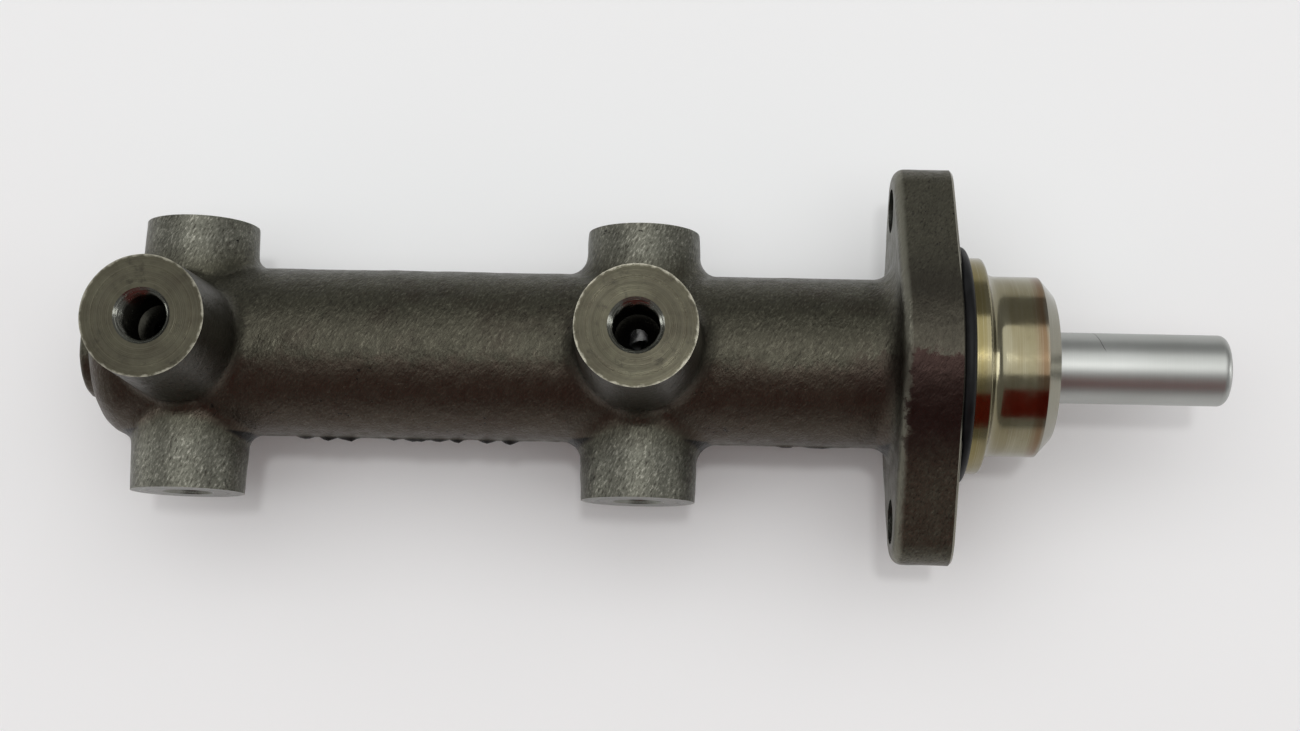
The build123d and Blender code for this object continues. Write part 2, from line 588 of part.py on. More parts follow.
def primary_piston():
    """Aluminium piston and rod in one: rod, notched guide land, waist, head and nose."""
    rest = -POCKET_FLOOR - TOUCH_GAP
    waist = PRIMARY_WAIST_DIAMETER / 2
    piston = turned([
        (ROD_LENGTH, 0), (ROD_LENGTH, rod_radius), (rest, rod_radius), (rest, piston_radius),
        (rest - GUIDE_LAND_LENGTH, piston_radius), (rest - GUIDE_LAND_LENGTH, waist),
        (primary_stack["head_back"], waist), (primary_stack["head_back"], piston_radius),
        (primary_stack["head_front"], piston_radius), (primary_stack["head_front"], nose_radius),
        (primary_stack["nose_end"], nose_radius), (primary_stack["nose_end"], 0),
    ])
    piston = fillet(piston.edges().sort_by(Axis.X)[-1], ROD_END_ROUND)
    flat_depth = piston_radius
    for turn in range(GUIDE_LAND_FLAT_COUNT):
        flat = Box(GUIDE_LAND_LENGTH, 2 * piston_radius, flat_depth)
        lift = GUIDE_LAND_FLATS / 2 + flat_depth / 2
        piston -= Rot(turn * 360 / GUIDE_LAND_FLAT_COUNT, 0, 0) * Pos(
            rest - GUIDE_LAND_LENGTH / 2, 0, lift) * flat
    piston -= head_holes(primary_stack)
    screw_hole_end = primary_stack["nose_end"] + STROKE_SCREW_GRIP + STROKE_SCREW_HOLE_SPARE
    return piston - rod_along_x(primary_stack["nose_end"], screw_hole_end,
                                STROKE_SCREW_DIAMETER + 2 * SEAT_GAP)


def stroke_screw():
    """Screw in the piston's nose; its head slides in the captive sleeve and sets its reach."""
    head_back = retainer_rear - RETAINER_WALL - TOUCH_GAP
    head_front = head_back - STROKE_SCREW_HEAD_LENGTH
    screw = rod_along_x(head_back, primary_stack["nose_end"] + STROKE_SCREW_GRIP, STROKE_SCREW_DIAMETER)
    screw += rod_along_x(head_front, head_back, STROKE_SCREW_HEAD_DIAMETER)
    slot = Box(STROKE_SCREW_HEAD_LENGTH, STROKE_SCREW_HEAD_DIAMETER, STROKE_SCREW_SLOT)
    return screw - Pos(head_front, 0, 0) * slot


def spring_retainer():
    """Captive sleeve: a hat whose brim holds the spring and rests on the secondary piston."""
    front = secondary_rear + SEAT_GAP
    tube, brim = RETAINER_TUBE_DIAMETER / 2, RETAINER_FLANGE_DIAMETER / 2
    hole = STROKE_SCREW_DIAMETER / 2 + LOOSE_GAP / 2
    return turned([
        (front, tube - RETAINER_WALL), (front, brim), (front + RETAINER_WALL, brim),
        (front + RETAINER_WALL, tube), (retainer_rear, tube), (retainer_rear, hole),
        (retainer_rear - RETAINER_WALL, hole), (retainer_rear - RETAINER_WALL, tube - RETAINER_WALL),
    ])


# ---- Secondary piston ----

def separating_grooves():
    """Start (rear side) and end (front side) of the two cup grooves behind the waist."""
    first = secondary_rear - SECONDARY_REAR_LAND
    second = first - CUP_GROOVE_LENGTH - CUP_GROOVE_DIVIDER
    return [(first, first - CUP_GROOVE_LENGTH), (second, second - CUP_GROOVE_LENGTH)]


def secondary_piston():
    """Aluminium floating piston: two cup grooves, waist, stop collar, head and nose."""
    groove, waist = CUP_GROOVE_DIAMETER / 2, SECONDARY_WAIST_DIAMETER / 2
    (a_start, a_end), (b_start, b_end) = separating_grooves()
    waist_start = b_end - SECONDARY_REAR_LAND
    collar_rear = -STOP_SCREW_STATION - STOP_SCREW_DIAMETER / 2 - TOUCH_GAP
    collar_front = collar_rear - STOP_COLLAR_LENGTH
    collar = STOP_COLLAR_DIAMETER / 2
    piston = turned([
        (secondary_rear, 0), (secondary_rear, piston_radius), (a_start, piston_radius),
        (a_start, groove), (a_end, groove), (a_end, piston_radius), (b_start, piston_radius),
        (b_start, groove), (b_end, groove), (b_end, piston_radius), (waist_start, piston_radius),
        (waist_start, waist), (collar_rear, waist), (collar_rear, collar), (collar_front, collar),
        (collar_front, waist), (secondary_stack["head_back"], waist),
        (secondary_stack["head_back"], piston_radius), (secondary_stack["head_front"], piston_radius),
        (secondary_stack["head_front"], nose_radius), (secondary_stack["nose_end"], nose_radius),
        (secondary_stack["nose_end"], 0),
    ])
    return piston - head_holes(secondary_stack)


def separating_cup(groove, towards):
    """One of the two back-to-back cups; each rests its base on the rib between the grooves."""
    start, end = groove
    base = end + SEAT_GAP if towards > 0 else start - SEAT_GAP
    return piston_cup(base, towards, CUP_GROOVE_DIAMETER)


def build_all():
    """Every node's solid, by name."""
    rear_groove, front_groove = separating_grooves()
    return {
        "cylinder_body": cylinder_body(),
        "guide_sleeve": guide_sleeve(),
        "mounting_o_ring": mounting_o_ring(),
        "stop_plate": stop_plate(),
        "rod_seal": rod_seal(),
        "rod_guide_bush": rod_guide_bush(),
        "vacuum_seal": vacuum_seal(),
        "snap_ring": snap_ring(),
        "stop_screw": stop_screw(),
        "stop_screw_washer": stop_screw_washer(),
        "inlet_grommet_rear": inlet_grommet(REAR_INLET),
        "inlet_grommet_front": inlet_grommet(FRONT_INLET),
        "primary_piston": primary_piston(),
        "primary_cup_washer": cup_washer(primary_stack),
        "primary_cup": piston_cup(primary_stack["base"], -1, NOSE_DIAMETER),
        "primary_support_ring": support_ring(primary_stack),
        "primary_spring_seat": spring_seat(primary_stack),
        "stroke_screw": stroke_screw(),
        "primary_spring": coil_spring(primary_stack["seat_front"],
                                      secondary_rear + SEAT_GAP + RETAINER_WALL,
                                      PRIMARY_WIRE, PRIMARY_COILS),
        "spring_retainer": spring_retainer(),
        "secondary_piston": secondary_piston(),
        "separating_cup_rear": separating_cup(rear_groove, 1),
        "separating_cup_front": separating_cup(front_groove, -1),
        "secondary_cup_washer": cup_washer(secondary_stack),
        "secondary_cup": piston_cup(secondary_stack["base"], -1, NOSE_DIAMETER),
        "secondary_support_ring": support_ring(secondary_stack),
        "secondary_spring_seat": spring_seat(secondary_stack),
        "secondary_spring": coil_spring(secondary_stack["seat_front"], bore_end,
                                        SECONDARY_WIRE, SECONDARY_COILS),
    }


os.makedirs("parts", exist_ok=True)
for node_name, solid in build_all().items():
    export_step(solid, f"parts/{node_name}.step")
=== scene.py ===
import bpy
import itertools
import math
import numpy as np
from mathutils import Matrix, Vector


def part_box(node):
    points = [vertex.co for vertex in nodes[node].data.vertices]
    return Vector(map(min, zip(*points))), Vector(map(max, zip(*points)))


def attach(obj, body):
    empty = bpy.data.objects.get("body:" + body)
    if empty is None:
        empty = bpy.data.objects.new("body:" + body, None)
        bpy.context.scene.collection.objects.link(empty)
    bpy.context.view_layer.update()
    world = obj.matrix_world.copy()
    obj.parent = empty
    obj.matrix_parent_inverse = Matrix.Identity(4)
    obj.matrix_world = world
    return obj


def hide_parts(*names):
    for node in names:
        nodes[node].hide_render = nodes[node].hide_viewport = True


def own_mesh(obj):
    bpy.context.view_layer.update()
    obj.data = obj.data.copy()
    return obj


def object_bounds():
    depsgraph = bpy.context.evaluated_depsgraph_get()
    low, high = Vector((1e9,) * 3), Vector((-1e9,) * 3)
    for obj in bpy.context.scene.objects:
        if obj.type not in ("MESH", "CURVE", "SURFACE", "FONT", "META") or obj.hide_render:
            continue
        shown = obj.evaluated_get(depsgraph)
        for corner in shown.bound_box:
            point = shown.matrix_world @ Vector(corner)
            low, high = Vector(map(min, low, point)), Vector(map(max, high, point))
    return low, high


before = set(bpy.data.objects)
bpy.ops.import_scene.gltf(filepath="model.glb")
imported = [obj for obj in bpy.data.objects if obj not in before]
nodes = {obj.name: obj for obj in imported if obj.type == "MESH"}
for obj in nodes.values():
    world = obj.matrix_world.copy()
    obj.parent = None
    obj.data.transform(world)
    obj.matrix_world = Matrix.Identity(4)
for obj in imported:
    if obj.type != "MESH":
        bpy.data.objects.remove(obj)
cad_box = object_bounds()
MM = 0.001


# ---------------------------------------------------------------- Table, light and camera
# The cylinder stands on a plain pale table top, under one broad ceiling light.
# A dark red cloth hangs beyond the near side of the table, and the bare metal mirrors it.

TABLE_COLOUR = (0.925, 0.93, 0.93, 1)
table_height = cad_box[0].z

table_mesh = bpy.data.meshes.new("table_top")
reach = 9.0
table_mesh.from_pydata([(-reach, -reach, table_height), (reach, -reach, table_height),
                        (reach, reach, table_height), (-reach, reach, table_height)], [], [(0, 1, 2, 3)])
table_top = bpy.data.objects.new("table_top", table_mesh)
bpy.context.scene.collection.objects.link(table_top)

paper = bpy.data.materials.new("pale_table_paper")
paper.use_nodes = True
paper_shader = paper.node_tree.nodes["Principled BSDF"]
paper_shader.inputs["Base Color"].default_value = TABLE_COLOUR
paper_shader.inputs["Roughness"].default_value = 0.65
paper_shader.inputs["Specular IOR Level"].default_value = 0.25
table_mesh.materials.append(paper)

cloth_mesh = bpy.data.meshes.new("red_cloth")
cloth_mesh.from_pydata([(-0.55, -0.62, 0.16), (0.35, -0.62, 0.16), (0.35, -0.50, 0.66), (-0.55, -0.50, 0.66)],
                       [], [(0, 1, 2, 3)])
red_cloth = bpy.data.objects.new("red_cloth", cloth_mesh)
bpy.context.scene.collection.objects.link(red_cloth)
red_cloth.visible_camera = False

dye = bpy.data.materials.new("dark_red_cloth")
dye.use_nodes = True
dye_shader = dye.node_tree.nodes["Principled BSDF"]
dye_shader.inputs["Base Color"].default_value = (0.19, 0.020, 0.013, 1)
dye_shader.inputs["Roughness"].default_value = 1.0
dye_shader.inputs["Specular IOR Level"].default_value = 0.0
cloth_mesh.materials.append(dye)


def area_light(name, place, aim, width, height, power):
    """A flat rectangular lamp at place, its face turned to the point aim; sizes in metres."""
    lamp = bpy.data.lights.new(name, "AREA")
    lamp.shape = "RECTANGLE"
    lamp.size, lamp.size_y = width, height
    lamp.energy = power
    holder = bpy.data.objects.new(name, lamp)
    bpy.context.scene.collection.objects.link(holder)
    back = np.array(place, float) - np.array(aim, float)
    back /= np.linalg.norm(back)
    right = np.cross((0, 1, 0), back)
    right /= np.linalg.norm(right)
    up = np.cross(back, right)
    turn = np.eye(4)
    turn[:3, 0], turn[:3, 1], turn[:3, 2], turn[:3, 3] = right, up, back, place
    holder.matrix_world = Matrix(turn.tolist())
    holder.visible_camera = False


area_light("ceiling_panel", (-0.10, 0.35, 1.50), (-0.06, 0, 0), 2.8, 1.9, 20.5)
area_light("ceiling_lamp", (0.02, 0.06, 1.60), (0, 0, 0), 0.11, 0.11, 2.9)
for side in (-1, 1):
    area_light("side_window", (side * 1.7 - 0.06, 0, 0.30), (-0.06, 0, 0), 0.8, 0.5, 4.5)

room = bpy.data.worlds.new("room")
room.use_nodes = True
bpy.context.scene.world = room
room_light = room.node_tree.nodes["Background"]
room_light.inputs["Color"].default_value = (0.80, 0.80, 0.80, 1)
room_light.inputs["Strength"].default_value = 0.34

scene_view = bpy.context.scene.view_settings
scene_view.view_transform = "Standard"
scene_view.look = "None"

TILT, ROLL, TURN = math.radians(9.06), math.radians(-1.35), math.radians(-1.16)
about_x = np.array([[1, 0, 0], [0, math.cos(TILT), math.sin(TILT)], [0, -math.sin(TILT), math.cos(TILT)]])
about_y = np.array([[math.cos(ROLL), 0, math.sin(ROLL)], [0, 1, 0], [-math.sin(ROLL), 0, math.cos(ROLL)]])
about_z = np.array([[math.cos(TURN), -math.sin(TURN), 0], [math.sin(TURN), math.cos(TURN), 0], [0, 0, 1]])
looking = about_z @ about_y @ about_x
CAMERA_DISTANCE = 0.37618
camera_data = bpy.data.cameras.new("camera")
camera_data.sensor_width = 36
camera_data.lens = 51.05
camera_data.clip_start, camera_data.clip_end = 0.01, 30
camera = bpy.data.objects.new("camera", camera_data)
bpy.context.scene.collection.objects.link(camera)
placed = np.eye(4)
placed[:3, :3] = looking.T
placed[:3, 3] = looking.T @ (0, -0.0012, CAMERA_DISTANCE) - (0.060915, 0, 0)
camera.matrix_world = Matrix(placed.tolist())
bpy.context.scene.camera = camera


# ---------------------------------------------------------------- The casting
# One piece of grey cast iron, sand cast and left bare: barrel, flange, six ports and two inlets.
# Its port faces, mounting face, bores and holes are machined; everything else has the sand's grain.

CAST_EDGE = 1.0 * MM             # longest triangle edge on as-cast walls
CAST_TRIANGLES = 190000          # what is left of them after thinning
SHARP_ANGLE = math.radians(36)   # an edge that turns more than this is drawn sharp
GRAIN = ((11.0 * MM, 0.050 * MM), (4.2 * MM, 0.045 * MM), (2.1 * MM, 0.035 * MM))
STATIONS = (-62.7 * MM, -154.0 * MM)
PORT_FACES = (((0, 0, 1), 39.2 * MM, 11.6 * MM), ((0, 1, 0), 25.9 * MM, 11.4 * MM),
              ((0, -1, 0), 29.1 * MM, 11.4 * MM))
THREAD_CORE, THREAD_WALL, MOUTH_RADIUS = 4.46 * MM, 5.02 * MM, 5.35 * MM
BORE_RADIUS, BORE_END = 11.3 * MM, -163.6 * MM
INLETS = (-32.0 * MM, -134.5 * MM)
INLET_FACE, INLET_RADIUS, SOCKET_RADIUS = -26 * MM, 11 * MM, 8.3 * MM
STOP_SCREW_X, STOP_PAD_FACE, STOP_PAD_RADIUS = -112 * MM, -19.5 * MM, 6.5 * MM
STUD_Y, STUD_RADIUS = 32 * MM, 4.6 * MM
POCKET_RADIUS, POCKET_FLOOR = 14.3 * MM, -3.05 * MM
SEAT_RECESS, REAR_BREAK = 0.2 * MM, 0.55 * MM
PARTING_WIDTH, FLASH_WIDTH = 0.55 * MM, 0.9 * MM
FLASH_LUMPS = ((-130.5, 1.5, 0.75), (-126.2, 1.3, 0.62), (-121.8, 1.6, 0.80), (-112.6, 1.0, 0.40),
               (-108.0, 2.1, 0.55), (-103.4, 1.5, 0.62), (-99.6, 1.1, 0.70), (-93.4, 1.6, 0.55),
               (-89.0, 1.3, 0.72), (-26.5, 2.6, 0.30), (-33.0, 1.4, 0.35))


def lattice_noise(points, cell, seed):
    """Smooth random height at each point, -1 to 1: random numbers stand on a cubic lattice of that
    cell, and a point takes the mean of the eight round it, weighted by a smooth step."""
    scaled = points / cell
    base = np.floor(scaled).astype(np.int64)
    part = scaled - base
    part = part * part * (3 - 2 * part)
    total = np.zeros(len(points))
    for corner in itertools.product((0, 1), repeat=3):
        spot = base + np.array(corner)
        code = (spot[:, 0] * 73856093) ^ (spot[:, 1] * 19349663) ^ (spot[:, 2] * 83492791) ^ (seed * 40503)
        code = ((code ^ (code >> 13)) * 1274126177) & 0xFFFFFFFF
        height = ((code ^ (code >> 16)) & 0xFFFF) / 32767.5 - 1
        weight = np.prod(np.where(np.array(corner) == 1, part, 1 - part), axis=1)
        total += weight * height
    return total


def merged_triangles(cad_object):
    """Points, triangles and corner normals of a CAD mesh, its loose triangles joined where their
    corners meet. The corner normals are the ones the mesh carries, square to the true surface."""
    mesh = cad_object.data
    mesh.calc_loop_triangles()
    loose = np.empty(len(mesh.vertices) * 3)
    mesh.vertices.foreach_get("co", loose)
    faces = np.empty(len(mesh.loop_triangles) * 3, np.int64)
    mesh.loop_triangles.foreach_get("vertices", faces)
    loops = np.empty(len(mesh.loop_triangles) * 3, np.int64)
    mesh.loop_triangles.foreach_get("loops", loops)
    normals = np.empty(len(mesh.loops) * 3)
    mesh.corner_normals.foreach_get("vector", normals)
    normals = normals.reshape(-1, 3)[loops].reshape(-1, 3, 3)
    keys, first, where = np.unique(np.round(loose.reshape(-1, 3), 7), axis=0, return_index=True,
                                   return_inverse=True)
    faces = where.reshape(-1)[faces].reshape(-1, 3)
    points = loose.reshape(-1, 3)[first]
    real = (faces[:, 0] != faces[:, 1]) & (faces[:, 1] != faces[:, 2]) & (faces[:, 0] != faces[:, 2])
    return points, faces[real], normals[real]


def refined(points, faces, normals, tags, wanted, longest):
    """Splits every edge longer than longest that touches a wanted face, again and again. A new point
    stands off its edge's middle by an eighth of the way each end's tangent plane misses the other end,
    so a round wall stays round."""
    while True:
        sides = np.stack([faces, np.roll(faces, -1, axis=1)], axis=2).reshape(-1, 2)
        pairs, edge_of = np.unique(np.sort(sides, axis=1), axis=0, return_inverse=True)
        edge_of = edge_of.reshape(-1, 3)
        length = np.linalg.norm(points[pairs[:, 0]] - points[pairs[:, 1]], axis=1)
        near_wanted = np.zeros(len(pairs), bool)
        np.logical_or.at(near_wanted, edge_of.reshape(-1), np.repeat(wanted[tags], 3))
        split = near_wanted & (length > longest)
        if not split.any():
            return points, faces, normals, tags
        along = points[np.roll(faces, -1, axis=1)] - points[faces]
        far_normals = np.roll(normals, -1, axis=1)
        lift = (np.sum(along * far_normals, 2, keepdims=True) * far_normals
                - np.sum(along * normals, 2, keepdims=True) * normals) / 8
        lift = lift.reshape(-1, 3)
        size = np.linalg.norm(lift, axis=1)
        best = np.zeros((len(pairs), 3))
        order = np.argsort(size)
        best[edge_of.reshape(-1)[order]] = lift[order]
        number = np.full(len(pairs), -1)
        number[split] = len(points) + np.arange(split.sum())
        middle = (points[pairs[split, 0]] + points[pairs[split, 1]]) / 2 + best[split]
        points = np.vstack([points, middle])
        mids = number[edge_of]
        mid_normals = normals + far_normals
        mid_normals /= np.linalg.norm(mid_normals, axis=2)[:, :, None] + 1e-30
        cut = mids >= 0
        made_faces, made_normals, made_tags = [], [], []

        def keep(which, corners, turn):
            """Adds one triangle from each face in which. A corner is 0 to 2 for the face's own corners
            and 3 to 5 for the mid-points of its sides."""
            rows = np.flatnonzero(which)
            own = [(corner % 3 + turn[rows]) % 3 for corner in corners]
            made_faces.append(np.stack([faces[rows, o] if c < 3 else mids[rows, o]
                                        for c, o in zip(corners, own)], 1))
            made_normals.append(np.stack([normals[rows, o] if c < 3 else mid_normals[rows, o]
                                          for c, o in zip(corners, own)], 1))
            made_tags.append(tags[rows])

        count = cut.sum(1)
        still = np.zeros(len(faces), int)
        keep(count == 0, (0, 1, 2), still)
        one = np.argmax(cut, axis=1)
        keep(count == 1, (0, 3, 2), one)
        keep(count == 1, (3, 1, 2), one)
        two = (np.argmin(cut, axis=1) + 1) % 3
        rows = np.arange(len(faces))
        first_mid = points[np.maximum(mids[rows, two], 0)]
        second_mid = points[np.maximum(mids[rows, (two + 1) % 3], 0)]
        across = np.linalg.norm(points[faces[rows, two]] - second_mid, axis=1)
        other = np.linalg.norm(first_mid - points[faces[rows, (two + 2) % 3]], axis=1)
        keep(count == 2, (3, 1, 4), two)
        keep((count == 2) & (across <= other), (0, 3, 4), two)
        keep((count == 2) & (across <= other), (0, 4, 2), two)
        keep((count == 2) & (across > other), (0, 3, 2), two)
        keep((count == 2) & (across > other), (3, 4, 2), two)
        for corners in ((0, 3, 5), (3, 1, 4), (5, 4, 2), (3, 4, 5)):
            keep(count == 3, corners, still)
        faces, normals, tags = np.vstack(made_faces), np.vstack(made_normals), np.concatenate(made_tags)


CAST, FACED, DRILLED = 0, 1, 2


def surface_kind(middle):
    """For each triangle: CAST, FACED (flat and machined) or DRILLED (bores, holes, chamfers, spigot),
    with the centre that its turning marks run round and the radius of its rim."""
    x, y, z = middle.T
    kind = np.zeros(len(middle), int)
    centre = np.zeros((len(middle), 3))
    rim = np.full(len(middle), 12 * MM)
    tight = 0.02 * MM
    from_axis = np.hypot(y, z)
    kind[(from_axis < BORE_RADIUS) & (x > BORE_END)] = DRILLED
    kind[x > tight] = DRILLED
    kind[(from_axis < POCKET_RADIUS) & (x > POCKET_FLOOR)] = DRILLED
    mounting = ((np.abs(x) < tight) | (np.abs(x + SEAT_RECESS) < tight)) & (from_axis > 15 * MM)
    kind[mounting | ((x > -REAR_BREAK) & (from_axis > 18 * MM))] = FACED
    rim[mounting] = 60 * MM
    for station in STATIONS:
        for axis, height, radius in PORT_FACES:
            axis = np.array(axis, float)
            up = middle @ axis
            off = middle - up[:, None] * axis - (station, 0, 0)
            away = np.linalg.norm(off, axis=1)
            face = (np.abs(up - height) < tight) & (away < radius + 1 * MM)
            kind[face] = FACED
            hole = (away < MOUTH_RADIUS + 0.05 * MM) & (up > 9 * MM) & ~face
            kind[hole] = DRILLED
            centre[face | hole] = axis * height + (station, 0, 0)
            rim[face | hole] = radius
    for station in INLETS:
        away = np.hypot(x - station, y)
        face = (np.abs(z - INLET_FACE) < tight) & (away < INLET_RADIUS + MM)
        hole = (away < SOCKET_RADIUS) & (z < -9 * MM) & ~face
        kind[face], kind[hole] = FACED, DRILLED
        centre[face | hole] = (station, 0, INLET_FACE)
        rim[face] = INLET_RADIUS
    away = np.hypot(x - STOP_SCREW_X, y)
    face = (np.abs(z - STOP_PAD_FACE) < tight) & (away < STOP_PAD_RADIUS + 0.5 * MM)
    kind[face] = FACED
    centre[face] = (STOP_SCREW_X, 0, STOP_PAD_FACE)
    rim[face] = STOP_PAD_RADIUS
    kind[(away < 2.6 * MM) & (z < -9 * MM) & ~face] = DRILLED
    for side in (-1, 1):
        away = np.hypot(y - side * STUD_Y, z)
        kind[(away < STUD_RADIUS) & (x > -12.2 * MM) & (x < 0)] = DRILLED
    return kind, centre, rim


points, faces, normals = merged_triangles(nodes["cylinder_body"])
kind, centre, rim = surface_kind(points[faces].mean(1))
points, faces, normals, tags = refined(points, faces, normals, np.arange(len(faces)), kind == CAST, CAST_EDGE)
kind, centre, rim = kind[tags], centre[tags], rim[tags]

cast_normal, faced_normal = np.zeros_like(points), np.zeros_like(points)
for k in range(3):
    np.add.at(cast_normal, faces[kind == CAST, k], normals[kind == CAST, k])
    np.add.at(faced_normal, faces[kind != CAST, k], normals[kind != CAST, k])
touches_cast = np.linalg.norm(cast_normal, axis=1) > 1e-6
on_rim = touches_cast & (np.linalg.norm(faced_normal, axis=1) > 1e-6)
cast_normal /= np.linalg.norm(cast_normal, axis=1)[:, None] + 1e-12
faced_normal /= np.linalg.norm(faced_normal, axis=1)[:, None] + 1e-12
out_of_face = np.sum(cast_normal * faced_normal, 1)[:, None] * faced_normal
push = cast_normal - np.where(on_rim[:, None], out_of_face, 0)

height = np.full(len(points), -0.05 * MM)
for step, (cell, depth) in enumerate(GRAIN):
    height += depth * lattice_noise(points, cell, 11 + step)
x, y, z = points.T
on_parting = (np.abs(y) > 10 * MM) | (x < -164 * MM)
seam = np.exp(-(z / PARTING_WIDTH) ** 2) * on_parting * (np.abs(x + 6 * MM) > 7 * MM)
height += seam * (0.12 + 0.10 * lattice_noise(points, 2.4 * MM, 31)) * MM
near_seam = np.exp(-((z + 0.2 * MM) / FLASH_WIDTH) ** 2) * (y < -14 * MM)
for lump_x, lump_length, lump_height in FLASH_LUMPS:
    along = (x - lump_x * MM) / (lump_length * MM)
    height += near_seam * np.exp(-np.abs(along) ** 3) * lump_height * MM * (
        1 + 0.35 * lattice_noise(points, 1.1 * MM, 37))
height[on_rim] *= 0.7
points = points + push * np.where(touches_cast, height, 0)[:, None]
points = np.clip(points, np.array(cad_box[0]), np.array(cad_box[1]))

# Every port's wall is opened from the thread's core to its outside, to make room for the thread.
THREADS_START = MOUTH_RADIUS - THREAD_WALL   # below the face, where the 45 degree chamfer ends
for station in STATIONS:
    for axis, face_height, radius in PORT_FACES:
        axis = np.array(axis, float)
        up = points @ axis
        off = points - up[:, None] * axis - (station, 0, 0)
        away = np.linalg.norm(off, axis=1)
        core = (np.abs(away - THREAD_CORE) < 0.02 * MM) & (up > face_height - 15 * MM) & (up > 9 * MM)
        mouth = core & (up > face_height - 1.2 * MM)
        points[core] += off[core] * (THREAD_WALL / away[core] - 1)[:, None]
        points[mouth] += (face_height - THREADS_START - up[mouth])[:, None] * axis


def mesh_from(name, points, faces):
    """A mesh object at the origin from an array of points and an array of triangles or quads."""
    mesh = bpy.data.meshes.new(name)
    sides = faces.shape[1]
    mesh.vertices.add(len(points))
    mesh.vertices.foreach_set("co", points.astype(np.float32).ravel())
    mesh.loops.add(faces.size)
    mesh.loops.foreach_set("vertex_index", faces.astype(np.int32).ravel())
    mesh.polygons.add(len(faces))
    mesh.polygons.foreach_set("loop_start", np.arange(0, faces.size, sides, dtype=np.int32))
    mesh.polygons.foreach_set("use_smooth", np.ones(len(faces), bool))
    mesh.update(calc_edges=True)
    made = bpy.data.objects.new(name, mesh)
    bpy.context.scene.collection.objects.link(made)
    return made


def note_turning(piece, centre, rim):
    """Writes on each face the point its turning marks run round and the radius of its rim."""
    turning_centre = piece.data.attributes.new("turning_centre", "FLOAT_VECTOR", "FACE")
    turning_centre.data.foreach_set("vector", centre.astype(np.float32).ravel())
    turning_rim = piece.data.attributes.new("turning_rim", "FLOAT", "FACE")
    turning_rim.data.foreach_set("value", rim.astype(np.float32))


def thinned(piece, target):
    """Collapses the edges whose loss changes the surface least, until about target triangles are left.
    The faces that stay keep their material and turning marks."""
    thin = piece.modifiers.new("thin", "DECIMATE")
    thin.ratio = target / len(piece.data.polygons)
    view = bpy.context.evaluated_depsgraph_get()
    piece.data = bpy.data.meshes.new_from_object(piece.evaluated_get(view))
    piece.modifiers.clear()


casting = mesh_from("iron_casting", points, faces)
casting.data.polygons.foreach_set("material_index", kind.astype(np.int32))
note_turning(casting, centre, rim)
thinned(casting, CAST_TRIANGLES)
casting.data.set_sharp_from_angle(angle=SHARP_ANGLE)
print("casting triangles", len(faces), "thinned to", len(casting.data.polygons))


class Finish:
    """A procedural material under construction: its nodes are added one call at a time."""

    def __init__(self, name):
        self.material = bpy.data.materials.new(name)
        self.material.use_nodes = True
        self.tree = self.material.node_tree
        self.shader = self.tree.nodes["Principled BSDF"]
        self.place = self.add("ShaderNodeTexCoord").outputs["Object"]

    def add(self, node_type, settings=None, **inputs):
        """A node with those settings; an input given as a socket is linked, and as a value is set."""
        node = self.tree.nodes.new(node_type)
        for key, value in (settings or {}).items():
            setattr(node, key, value)
        for key, value in inputs.items():
            numbered = key[0] == "i" and key[1:].isdigit()
            self.put(node.inputs[int(key[1:]) if numbered else key.replace("_", " ")], value)
        return node

    def put(self, socket, value):
        """Links the socket to another one, or sets it to a value."""
        if isinstance(value, bpy.types.NodeSocket):
            self.tree.links.new(value, socket)
        else:
            socket.default_value = value

    def shade(self, **inputs):
        """Sets or links the inputs of the material's shader."""
        for key, value in inputs.items():
            self.put(self.shader.inputs[key.replace("_", " ")], value)

    def stretched(self, scale):
        """The object's own coordinates, scaled on each axis."""
        return self.add("ShaderNodeMapping", i0=self.place, i3=scale).outputs[0]

    def drawn_out(self, lengths, turn):
        """The object's own coordinates, for a pattern drawn out by those lengths along axes turned so."""
        return self.add("ShaderNodeMapping", {"vector_type": "TEXTURE"}, i0=self.place, i2=turn,
                        i3=lengths).outputs[0]

    def noise(self, scale, detail=3.0, roughness=0.55, vector=None):
        """Cloudy noise from 0 to 1, on the object's own coordinates unless a vector is given."""
        return self.add("ShaderNodeTexNoise", Vector=vector or self.place, Scale=scale, Detail=detail,
                        Roughness=roughness).outputs["Fac"]

    def spread(self, value, low, high, out_low=0.0, out_high=1.0):
        """Carries low..high to out_low..out_high, and holds it there outside."""
        return self.add("ShaderNodeMapRange", {"clamp": True}, i0=value, i1=low, i2=high, i3=out_low,
                        i4=out_high).outputs[0]

    def sum(self, operation, a, b=0.0):
        """One step of arithmetic on one or two values."""
        return self.add("ShaderNodeMath", {"operation": operation}, i0=a, i1=b).outputs[0]

    def blend(self, share, colour_a, colour_b):
        """colour_a where share is 0, colour_b where it is 1."""
        mix = self.add("ShaderNodeMix", {"data_type": "RGBA"})
        self.put(mix.inputs[0], share)
        self.put(mix.inputs[6], colour_a)
        self.put(mix.inputs[7], colour_b)
        return mix.outputs[2]

    def relief(self, height, distance, strength=1.0, over=None):
        """A fine relief of that height over the surface, or over another relief."""
        bump = self.add("ShaderNodeBump", Height=height, Distance=distance, Strength=strength)
        if over is not None:
            self.put(bump.inputs["Normal"], over)
        return bump.outputs["Normal"]


